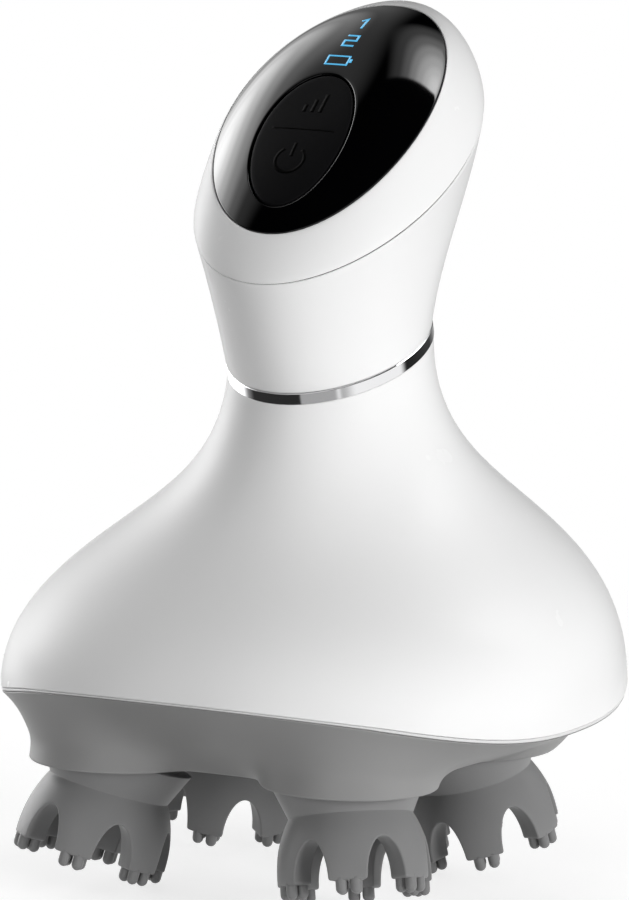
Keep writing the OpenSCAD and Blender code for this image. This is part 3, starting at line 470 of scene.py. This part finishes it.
# ---- panel, rocker and marks ----
def display_panel():
    a = circle()

    def face(t, inset, lift):
        return on_dome(mix(PANEL_W - inset, BUTTON_W + BUTTON_GAP, t)*np.cos(a),
                       mix((PANEL_D - inset)*np.sin(a), BUTTON_V + (BUTTON_D + BUTTON_GAP)*np.sin(a), t),
                       lift)
    top = [face(t, PANEL_GAP, 0) for t in np.linspace(0, 1, 26)]
    under = [face(t, PANEL_GAP + SEAT_IN, PANEL_GAP - PANEL_T) for t in np.linspace(1, 0, 6)]
    form = Form().loft(top + under, wrap=True)
    piece("panel_cover", form, BLACK, "body", "display_panel", edge=0.16, edge_angle=30)


def rocker_button():
    a = circle(128)

    def level(t, lift):
        return on_dome(BUTTON_W*t*np.cos(a), BUTTON_V + BUTTON_D*t*np.sin(a), lift)
    rings = [level(t, -BUTTON_T) for t in (0.5, 0.96)] + [level(1, -BUTTON_T + 0.2), level(1, -0.22)]
    rings += [level(t, lift) for t, lift in ((0.994, -0.1), (0.98, -0.03), (0.96, 0.0))]
    rings += [level(t, 0) for t in (0.9, 0.8, 0.68, 0.55, 0.42, 0.28, 0.14)]
    form = Form().loft(rings, first=on_dome(0.0, BUTTON_V, -BUTTON_T), last=on_dome(0.0, BUTTON_V, 0.0))
    piece("rocker_pad", form, MATT, "rocker", "rocker_button")


def ribbon(form, path, width, closed=False, lift=0.035, sink=0.12, step=0.35):
    """A flat line of that width laid on the dome along path, a list of (x, v)."""
    pts = np.array(path, float)
    segments = list(zip(pts, np.roll(pts, -1, 0))) if closed else list(zip(pts[:-1], pts[1:]))
    fine = []
    for p, q in segments:
        k = max(1, int(np.ceil(np.linalg.norm(q - p)/step)))
        fine += [mix(p, q, i/k) for i in range(k)]
    if not closed:
        fine.append(pts[-1])
    fine = np.array(fine)
    back = fine - (np.roll(fine, 1, 0) if closed else np.vstack([2*fine[0] - fine[1], fine[:-1]]))
    ahead = (np.roll(fine, -1, 0) if closed else np.vstack([fine[1:], 2*fine[-1] - fine[-2]])) - fine
    back /= np.linalg.norm(back, axis=1)[:, None]
    ahead /= np.linalg.norm(ahead, axis=1)[:, None]
    mitre = back + ahead
    mitre /= np.linalg.norm(mitre, axis=1)[:, None]
    side = np.stack([-mitre[:, 1], mitre[:, 0]], -1)/np.maximum(0.5, (mitre*ahead).sum(1))[:, None]
    left, right = fine + side*width/2, fine - side*width/2
    corners = ((left, -sink), (left, lift), (right, lift), (right, -sink))
    rows = [on_dome(s[:, 0], s[:, 1], h) for s, h in corners]
    rings = [np.array([r[i] for r in rows]) for i in range(len(fine))]
    if closed:
        return form.loft(rings, wrap=True)
    return form.loft(rings, first=rings[0].mean(0), last=rings[-1].mean(0))


def arc(x, v, r, start, end, n=24):
    return [(x + r*math.cos(rad(t)), v + r*math.sin(rad(t))) for t in np.linspace(start, end, n)]


def marks():
    lines = 0.34
    one = ribbon(Form(), [(-0.55, 17.0), (0.25, 17.75), (0.25, 14.9)], lines)
    piece("level_mark_1", one, LIT, "body", None)
    two = ribbon(Form(), [(-0.95, 12.85), (0.95, 12.85), (0.95, 11.6), (-0.95, 11.6), (-0.95, 10.35),
                          (0.95, 10.35)], lines)
    piece("level_mark_2", two, LIT, "body", None)
    cell = ribbon(Form(), [(-2.0, 5.95), (1.6, 5.95), (1.6, 7.85), (-2.0, 7.85)], 0.28, closed=True)
    ribbon(cell, [(1.8, 6.9), (2.2, 6.9)], 0.8)
    piece("cell_mark", cell, LIT, "body", None)
    low, high = -4.5, -0.6
    bars = Form()
    for i, height in enumerate((0.4, 0.7, 1.0)):
        x = 1.35*(i - 1)
        ribbon(bars, [(x, low), (x, mix(low, high, height))], 0.7, lift=0.008)
    piece("mode_mark", bars, MARK, "rocker", None)
    line = ribbon(Form(), [(-5.2, -8.0), (5.2, -8.0)], 0.3, lift=0.008)
    piece("dividing_line", line, MARK, "rocker", None)
    power = ribbon(Form(), arc(0, -13.9, 2.35, 128, 412), 0.6, lift=0.008)
    ribbon(power, [(0, -13.4), (0, -10.7)], 0.6, lift=0.008)
    piece("power_mark", power, MARK, "rocker", None)


# ---- skirt and seal ----
def skirt_outline(inset):
    """The skirt's lower edge, round the four collars and the webs between them, with eased corners."""
    c, r = HEAD_CIRCLE*math.cos(rad(45)), COLLAR_R - inset
    start, end = -math.acos((WEB_SIDE - c)/COLLAR_R), math.pi/2 + math.acos((WEB_FRONT - c)/COLLAR_R)
    bend = [(c + r*math.cos(t), c + r*math.sin(t)) for t in np.linspace(start, end, 40)]
    quarter = [(WEB_SIDE - inset, 0.0)] + bend
    loop = quarter + [(0.0, WEB_FRONT - inset)] + [(-x, y) for x, y in quarter[::-1]]
    loop += [(-x, -y) for x, y in quarter[1:]] + [(0.0, inset - WEB_FRONT)]
    loop += [(x, -y) for x, y in quarter[::-1][:-1]]
    loop = np.array(loop)
    gaps = np.linalg.norm(np.roll(loop, -1, 0) - loop, axis=1)
    along = np.concatenate([[0], np.cumsum(gaps)])
    closed = np.vstack([loop, loop[:1]])
    n = int(along[-1]/OUTLINE_STEP)
    s = np.linspace(0, along[-1], n, endpoint=False)
    even = np.stack([np.interp(s, along, closed[:, i]) for i in (0, 1)], -1)
    return soften(even, 22)


def skirt_ring(plan, t, inset):
    """A ring of the skirt's wall: t is 0 at the lower lip and 1 at the rim, with a slight hollow between."""
    a = np.arctan2(plan[:, 1] + CLUSTER_Y/2, plan[:, 0])
    plan = plan*(1 - HOLLOW*math.exp(-((t - HOLLOW_AT)/HOLLOW_WIDE)**2)/np.linalg.norm(plan, axis=1)[:, None])
    top = bell(rim_u(a, -SEAL_H/2 - SEAL_GAP), inset, a)
    f = t**mix(1.2, 0.65, (1 + np.sin(a))/2)
    return np.stack([mix(plan[:, 0], top[:, 0], f), mix(plan[:, 1] + CLUSTER_Y, top[:, 1], f),
                     mix(COLLAR_Z, top[:, 2], t)], -1)


def soften(loop, passes):
    for _ in range(passes):
        loop = (np.roll(loop, 1, 0) + 2*loop + np.roll(loop, -1, 0))/4
    return loop


def base_skirt():
    """The outline of the lower edge eases with height, so that collars and webs flow into one wall."""
    plan = skirt_outline(0)
    n = len(plan)
    inner_plan = skirt_outline(SKIRT_WALL)
    spots = np.linspace(0, 1, n, endpoint=False)
    own = np.linspace(0, 1, len(inner_plan), endpoint=False)
    inner_plan = np.stack([np.interp(spots, own, inner_plan[:, i]) for i in (0, 1)], -1)
    outer, inner, steps = [], [], 26
    outer.append(skirt_ring(plan, 0, 0.0))
    for j in range(1, steps):
        plan = soften(plan, 34)
        outer.append(skirt_ring(plan, j/(steps - 1), 0))
    for j in range(9):
        inner.insert(0, skirt_ring(inner_plan, j/8, SKIRT_WALL + 0.4))
        inner_plan = soften(inner_plan, 100)
    form = Form().loft(outer + inner, wrap=True)
    piece("skirt_shell", form, SOFT_GREY, "body", "base_skirt", edge=0.45)


def rim_seal():
    a = circle()
    h = SEAL_H/2
    rings = [bell(rim_u(a, dz), inset, a) for dz, inset in
             ((-h, SEAL_INSET + 0.06), (-h/2, SEAL_INSET), (h/2, SEAL_INSET), (h, SEAL_INSET + 0.06),
              (h, WALL), (-h, WALL))]
    piece("rim_line", Form().loft(rings, wrap=True), SEAL, "body", "rim_seal")


# ---- massage heads ----
ARC = ((LEG_L - 0.7)**2 + (TIP_R - WAIST_R)**2)/(2*(TIP_R - WAIST_R))


def cup_r(s):
    """Outer radius of the cup at height s on the head's axis."""
    return TIP_R - ARC + np.sqrt(ARC**2 - np.minimum(0, -WAIST_S - s - LEG_L + 0.7)**2)


def head_place(k):
    az, tilt = rad(HEAD_AZ[k]), rad(HEAD_TILT)
    phase = Matrix.Rotation(rad(LEG_PHASE[k]), 3, "Z")
    turn = Matrix.Rotation(az, 3, "Z") @ Matrix.Rotation(-tilt, 3, "Y") @ phase
    turn = np.array(turn)
    centre = np.array([HEAD_CIRCLE*math.cos(az), CLUSTER_Y + HEAD_CIRCLE*math.sin(az), COLLAR_Z])
    return lambda p: centre + np.asarray(p) @ turn.T


def leg_edge(per_leg):
    """The cup's lower edge over one leg and half an arch each side, as distance round the cup and height."""
    tip = -WAIST_S - LEG_L
    pitch = 2*math.pi/LEGS
    half = pitch*TIP_R/2
    y = np.linspace(-half, half, 4000)
    off = half - np.abs(y)
    arch = 1 - np.sqrt(1 - np.minimum(1, off/ARCH_W)**2)
    s = np.where(off < ARCH_W, -WAIST_S - ARCH_S - (LEG_L - ARCH_S)*arch, tip)
    along = np.concatenate([[0], np.cumsum(np.hypot(np.diff(y), np.diff(s)))])
    want = np.linspace(0, along[-1], per_leg, endpoint=False)
    y, s = np.interp(want, along, y), np.interp(want, along, s)
    return y, s, 2*half


def head_form(k):
    y, s, period = leg_edge(per_leg=96)
    ys = np.concatenate([y + j*period for j in range(LEGS)])
    ss = np.tile(s, LEGS)
    whole = period*LEGS

    def beside(values):
        """The values at the points before and after each, across the loop's end."""
        before, after = np.roll(values, 1), np.roll(values, -1)
        before[0] -= whole
        after[-1] += whole
        return before, after

    for _ in range(4):
        ys = (sum(beside(ys)) + 2*ys)/4
        ss = (np.roll(ss, 1) + 2*ss + np.roll(ss, -1))/4
    before, after = beside(ys)
    run, rise = after - before, np.roll(ss, -1) - np.roll(ss, 1)
    size = np.hypot(run, rise)
    ny, ns = -rise/size, run/size
    n = len(ys)
    even = np.linspace(ys.mean() - whole/2, ys.mean() + whole/2, n, endpoint=False)
    even = even + (ys - even).mean()

    def ring(yy, sv, r):
        t = yy/TIP_R
        return np.stack([r*np.cos(t), r*np.sin(t), sv + np.zeros(n)], -1)

    soft = 0.28
    top_r = WAIST_R + FLARE*(WAIST_S + HEAD_TOP)
    crown = [(SHAFT_R, HEAD_TOP - BORE_DEEP), (SHAFT_R, HUB_TOP), (HUB_R - 0.2, HUB_TOP)]
    crown += [(HUB_R, HUB_TOP - 0.2), (HUB_R, HEAD_TOP), (top_r - 0.3, HEAD_TOP)]
    crown.append((top_r - 0.07, HEAD_TOP - 0.1))
    rows = [ring(even, h, 0*even + r) for r, h in crown]
    for t in (0.04, 0.2, 0.4, 0.6, 0.8, 0.93):
        h = mix(HEAD_TOP, -WAIST_S, t)
        rows.append(ring(even, h, 0*even + WAIST_R + FLARE*(h + WAIST_S)))
    rows += [ring(even, -WAIST_S + h, 0*even + WAIST_R + abs(h)*0.4) for h in (0.12, 0.02, -0.02, -0.12)]
    edge_y, edge_s = ys + ny*soft, ss + ns*soft
    for t in (0.04, 0.1, 0.18, 0.28, 0.4, 0.52, 0.65, 0.78, 0.9, 1.0):
        yy, sv = mix(even, edge_y, smooth(t)**0.8), mix(-WAIST_S - 0.4, edge_s, t)
        rows.append(ring(yy, sv, cup_r(sv)))
    for q in (22, 45, 68, 90):
        f, g = soft*(1 - math.sin(rad(q))), soft*(1 - math.cos(rad(q)))
        yy, sv = ys + ny*f, ss + ns*f
        rows.append(ring(yy, sv, cup_r(sv) - g))
    for t in (0.33, 0.67):
        rows.append(ring(ys, ss, cup_r(ss) - mix(soft, LEG_T - soft, t)))
    for q in (90, 68, 45, 22, 0):
        f, g = soft*(1 - math.sin(rad(q))), soft*(1 - math.cos(rad(q)))
        yy, sv = ys + ny*f, ss + ns*f
        rows.append(ring(yy, sv, cup_r(sv) - LEG_T + g))
    roof = -WAIST_S - 1.4
    for t in (0.15, 0.35, 0.55, 0.75, 0.9):
        yy, sv = mix(edge_y, even, smooth(t)), mix(edge_s, roof - 1.2, t)
        rows.append(ring(yy, sv, cup_r(sv) - LEG_T))
    inner = cup_r(roof - 1.2) - LEG_T
    for q in (0, 30, 60, 90):
        drop, shrink = 1.2*(1 - math.sin(rad(q))), 1.4*(1 - math.cos(rad(q)))
        rows.append(ring(even, roof - drop, 0*even + inner - shrink))
    rows += [ring(even, roof, 0*even + inner*t) for t in (0.55, 0.25)]
    place = head_place(k)
    form = Form().loft([place(r) for r in rows], first=place([[0, 0, HEAD_TOP - BORE_DEEP]])[0],
                       last=place([[0, 0, roof]])[0])
    turns = [j*2*math.pi/LEGS for j in range(LEGS)]
    mid = TIP_R - LEG_T/2
    tip = -WAIST_S - LEG_L
    for t in turns:
        for dx in (-1, 1):
            for dy in (-1, 1):
                x, yy = mid + NUB_OUT*dx, NUB_ACROSS*dy
                at = np.array([x*math.cos(t) - yy*math.sin(t), x*math.sin(t) + yy*math.cos(t), tip])
                ball = [(NUB_R*math.cos(rad(q)), NUB_R - NUB_L - NUB_R*math.sin(rad(q)))
                        for q in (0, 18, 36, 54, 72, 84)]
                profile = [(0, 0.4), (NUB_R, 0.4), (NUB_R, 0.0), (NUB_R, -0.3)]
                profile += ball + [(0, -NUB_L)]
                form.turned(profile, place=lambda p, at=at: place(np.asarray(p) + at), n=20)
    return form


def massage_heads():
    for k in range(4):
        n = k + 1
        piece(f"massage_cup_{n}", head_form(k), SILICONE, f"head_{n}", f"massage_head_{n}")


# ---- studio ----
def camera():
    azimuth, elevation, roll, distance = rad(27), rad(8), rad(1.3), 1140*MM
    right = Vector((math.cos(azimuth), math.sin(azimuth), 0))
    ahead = Vector((-math.sin(azimuth)*math.cos(elevation), math.cos(azimuth)*math.cos(elevation),
                    -math.sin(elevation)))
    up = right.cross(ahead)
    aim = Vector((0, -0.86*MM, 66*MM)) - right*0.49*MM - up*0.795*MM
    across, over = right*math.cos(roll) + up*math.sin(roll), up*math.cos(roll) - right*math.sin(roll)
    data = bpy.data.cameras.new("camera")
    data.sensor_width = 36
    data.lens = 36*distance/(136.8*MM)
    data.clip_start, data.clip_end = 0.05, 20
    obj = bpy.data.objects.new("camera", data)
    place = Matrix((across, over, -ahead)).transposed().to_4x4()
    place.translation = aim - ahead*distance
    obj.matrix_world = place
    bpy.context.scene.collection.objects.link(obj)
    bpy.context.scene.camera = obj


LAMP_AWAY, LAMP_SIDE, LAMP_AIM = 1.0, 0.5, 0.06   # distance, side and the height faced, in metres
LAMPS = (                             # name, azimuth, elevation and power of each soft box
    ("key", 80, 6, 9.1), ("front", 0, 8, 2.65), ("front_left", -35, 8, 0.8), ("left", -115, 8, 3.6),
    ("rear_left", -150, 8, 4.6), ("rear_right", 150, 8, 2.0), ("top", 0, 78, 1.0))


def area(name, azimuth, elevation, power):
    """A square soft box that faces the object's middle."""
    data = bpy.data.lights.new(name, "AREA")
    data.shape, data.size, data.energy = "SQUARE", LAMP_SIDE, power
    obj = bpy.data.objects.new(name, data)
    a, e = rad(azimuth), rad(elevation)
    way = Vector((math.sin(a)*math.cos(e), -math.cos(a)*math.cos(e), math.sin(e)))
    obj.location = Vector((0, 0, LAMP_AIM)) + way*LAMP_AWAY
    obj.rotation_mode = "QUATERNION"
    obj.rotation_quaternion = way.to_track_quat("Z", "Y")
    obj.visible_glossy = False
    bpy.context.scene.collection.objects.link(obj)


def math_node(tree, kind, a, b=None, clamp=False):
    n = tree.nodes.new("ShaderNodeMath")
    n.operation, n.use_clamp = kind, clamp
    for socket, value in zip(n.inputs, (a, b)):
        if value is None:
            continue
        if isinstance(value, (int, float)):
            socket.default_value = value
        else:
            tree.links.new(value, socket)
    return n.outputs[0]


SHADE_EDGE = (-160.9, 15.7, 0.4115)   # azimuth, elevation and offset of the edge that cuts the rear soft box
LEFT_LEVEL, RIGHT_LEVEL, REST_LEVEL = 6.2, 5.6, 0.1   # the two soft boxes in reflections, and the even light


def world():
    """White where the camera looks, a low even level on surfaces, and soft boxes for reflections alone."""
    w = bpy.data.worlds.new("studio")
    bpy.context.scene.world = w
    w.use_nodes = True
    tree = w.node_tree
    background = tree.nodes["Background"]
    rays = tree.nodes.new("ShaderNodeLightPath")
    where = tree.nodes.new("ShaderNodeTexCoord")
    split = tree.nodes.new("ShaderNodeSeparateXYZ")
    tree.links.new(where.outputs["Generated"], split.inputs[0])
    x, y, z = split.outputs
    turn = math_node(tree, "ARCTAN2", x, math_node(tree, "MULTIPLY", y, -1.0))
    turn = math_node(tree, "ADD", math_node(tree, "DIVIDE", turn, 2*math.pi), 0.5)

    def ramp(fac, stops):
        r = tree.nodes.new("ShaderNodeValToRGB")
        r.color_ramp.interpolation = "EASE"
        while len(r.color_ramp.elements) < len(stops):
            r.color_ramp.elements.new(0.5)
        for element, (at, level) in zip(r.color_ramp.elements, stops):
            element.position, element.color = at, (level, level, level, 1)
        tree.links.new(fac, r.inputs[0])
        return r.outputs["Color"]

    def at(degrees):
        return degrees/360 + 0.5

    def towards(azimuth, elevation):
        """How far a direction lies from that one, as the cosine of the angle between them."""
        a, e = rad(azimuth), rad(elevation)
        dot = tree.nodes.new("ShaderNodeVectorMath")
        dot.operation = "DOT_PRODUCT"
        dot.inputs[1].default_value = (math.sin(a)*math.cos(e), -math.cos(a)*math.cos(e), math.sin(e))
        tree.links.new(where.outputs["Generated"], dot.inputs[0])
        return dot.outputs["Value"]

    def soft_box(azimuth, elevation, stops):
        """A glow round a direction: stops are (degrees away, level), from the farthest in."""
        facing = towards(azimuth, elevation)
        return ramp(facing, [(math.cos(rad(away)), level) for away, level in stops])

    walls = ramp(turn, [(0.0, 0.1), (at(-150), 0.5), (at(-128), 1.0), (at(-86), 1.0), (at(-73), 0.03),
                        (at(5), 0.025), (at(8), 0.4), (at(48), 0.42), (at(53), 0.85), (at(57), 0.5),
                        (at(74), 1.0), (at(124), 1.0), (at(133), 0.02), (1.0, 0.05)])
    height = math_node(tree, "ADD", math_node(tree, "MULTIPLY", z, 0.5), 0.5)
    low_only = ramp(height, [(0.0, 0.6), (0.35, 1.0), (0.5, 1.0), (0.58, 0.0), (1.0, 0.0)])
    left = soft_box(-106, 22, [(52, 0.0), (40, 0.04), (32, 0.14), (24, 0.34), (16, 0.57), (8, 0.83),
                               (0, 1.0)])
    right = soft_box(133, 54, [(42, 0.0), (33, 0.05), (26, 0.14), (20, 0.32), (13, 0.54), (7, 0.75),
                               (0, 1.0)])
    shade = towards(*SHADE_EDGE[:2])
    edge = tree.nodes.new("ShaderNodeMapRange")
    edge.interpolation_type = "SMOOTHSTEP"
    edge.inputs["From Min"].default_value = SHADE_EDGE[2] - 0.012
    edge.inputs["From Max"].default_value = SHADE_EDGE[2] + 0.014
    tree.links.new(shade, edge.inputs["Value"])
    right = math_node(tree, "MULTIPLY", right, edge.outputs["Result"])
    studio = math_node(tree, "ADD", math_node(tree, "MULTIPLY", walls, low_only),
                       math_node(tree, "ADD", math_node(tree, "MULTIPLY", left, LEFT_LEVEL),
                                 math_node(tree, "MULTIPLY", right, RIGHT_LEVEL)))
    seen = rays.outputs["Is Camera Ray"]
    mirror = math_node(tree, "MAXIMUM", rays.outputs["Is Glossy Ray"], rays.outputs["Is Transmission Ray"])
    mirror = math_node(tree, "MULTIPLY", mirror, math_node(tree, "SUBTRACT", 1.0, seen))
    rest = math_node(tree, "SUBTRACT", math_node(tree, "SUBTRACT", 1.0, seen), mirror)
    level = math_node(tree, "ADD", math_node(tree, "ADD", seen, math_node(tree, "MULTIPLY", mirror, studio)),
                      math_node(tree, "MULTIPLY", rest, REST_LEVEL))
    tree.links.new(level, background.inputs["Strength"])
    background.inputs["Color"].default_value = (1, 1, 1, 1)


FLOOR_R, FLOOR_GLOW, FLOOR_FADE = 0.6, 0.72, (0.07, 0.3)   # radius, own level, and where it fades out


def floor():
    """A pale floor that fades into the white background away from the object's shadow."""
    mesh = bpy.data.meshes.new("floor")
    a = circle(64)
    mesh.from_pydata([(FLOOR_R*math.cos(t), FLOOR_R*math.sin(t), 0) for t in a], [], [tuple(range(64))])
    obj = bpy.data.objects.new("floor", mesh)
    bpy.context.scene.collection.objects.link(obj)
    m = bpy.data.materials.new("floor_white")
    m.use_nodes = True
    tree = m.node_tree
    tree.nodes.clear()
    out = tree.nodes.new("ShaderNodeOutputMaterial")
    base = tree.nodes.new("ShaderNodeBsdfDiffuse")
    base.inputs["Color"].default_value = (0.5, 0.5, 0.5, 1)
    shine = tree.nodes.new("ShaderNodeEmission")
    rays = tree.nodes.new("ShaderNodeLightPath")
    mirror = math_node(tree, "MAXIMUM", rays.outputs["Is Glossy Ray"], rays.outputs["Is Transmission Ray"])
    seen = math_node(tree, "MAXIMUM", rays.outputs["Is Camera Ray"], mirror)
    tree.links.new(math_node(tree, "MULTIPLY", seen, FLOOR_GLOW), shine.inputs["Strength"])
    both = tree.nodes.new("ShaderNodeAddShader")
    tree.links.new(base.outputs[0], both.inputs[0])
    tree.links.new(shine.outputs[0], both.inputs[1])
    clear = tree.nodes.new("ShaderNodeBsdfTransparent")
    fade = tree.nodes.new("ShaderNodeMixShader")
    where = tree.nodes.new("ShaderNodeTexCoord")
    far = tree.nodes.new("ShaderNodeVectorMath")
    far.operation = "LENGTH"
    tree.links.new(where.outputs["Object"], far.inputs[0])
    edge = tree.nodes.new("ShaderNodeMapRange")
    edge.interpolation_type = "SMOOTHSTEP"
    edge.inputs["From Min"].default_value, edge.inputs["From Max"].default_value = FLOOR_FADE
    tree.links.new(far.outputs["Value"], edge.inputs["Value"])
    tree.links.new(edge.outputs["Result"], fade.inputs[0])
    tree.links.new(both.outputs[0], fade.inputs[1])
    tree.links.new(clear.outputs[0], fade.inputs[2])
    tree.links.new(fade.outputs[0], out.inputs["Surface"])
    mesh.materials.append(m)


def studio():
    world()
    floor()
    for name, azimuth, elevation, power in LAMPS:
        area(name, azimuth, elevation, power)
    bpy.context.scene.view_settings.view_transform = "Standard"


body_shell()
neck_shell()
chrome_ring()
upper_cap()
display_panel()
rocker_button()
marks()
base_skirt()
rim_seal()
massage_heads()
camera()
studio()
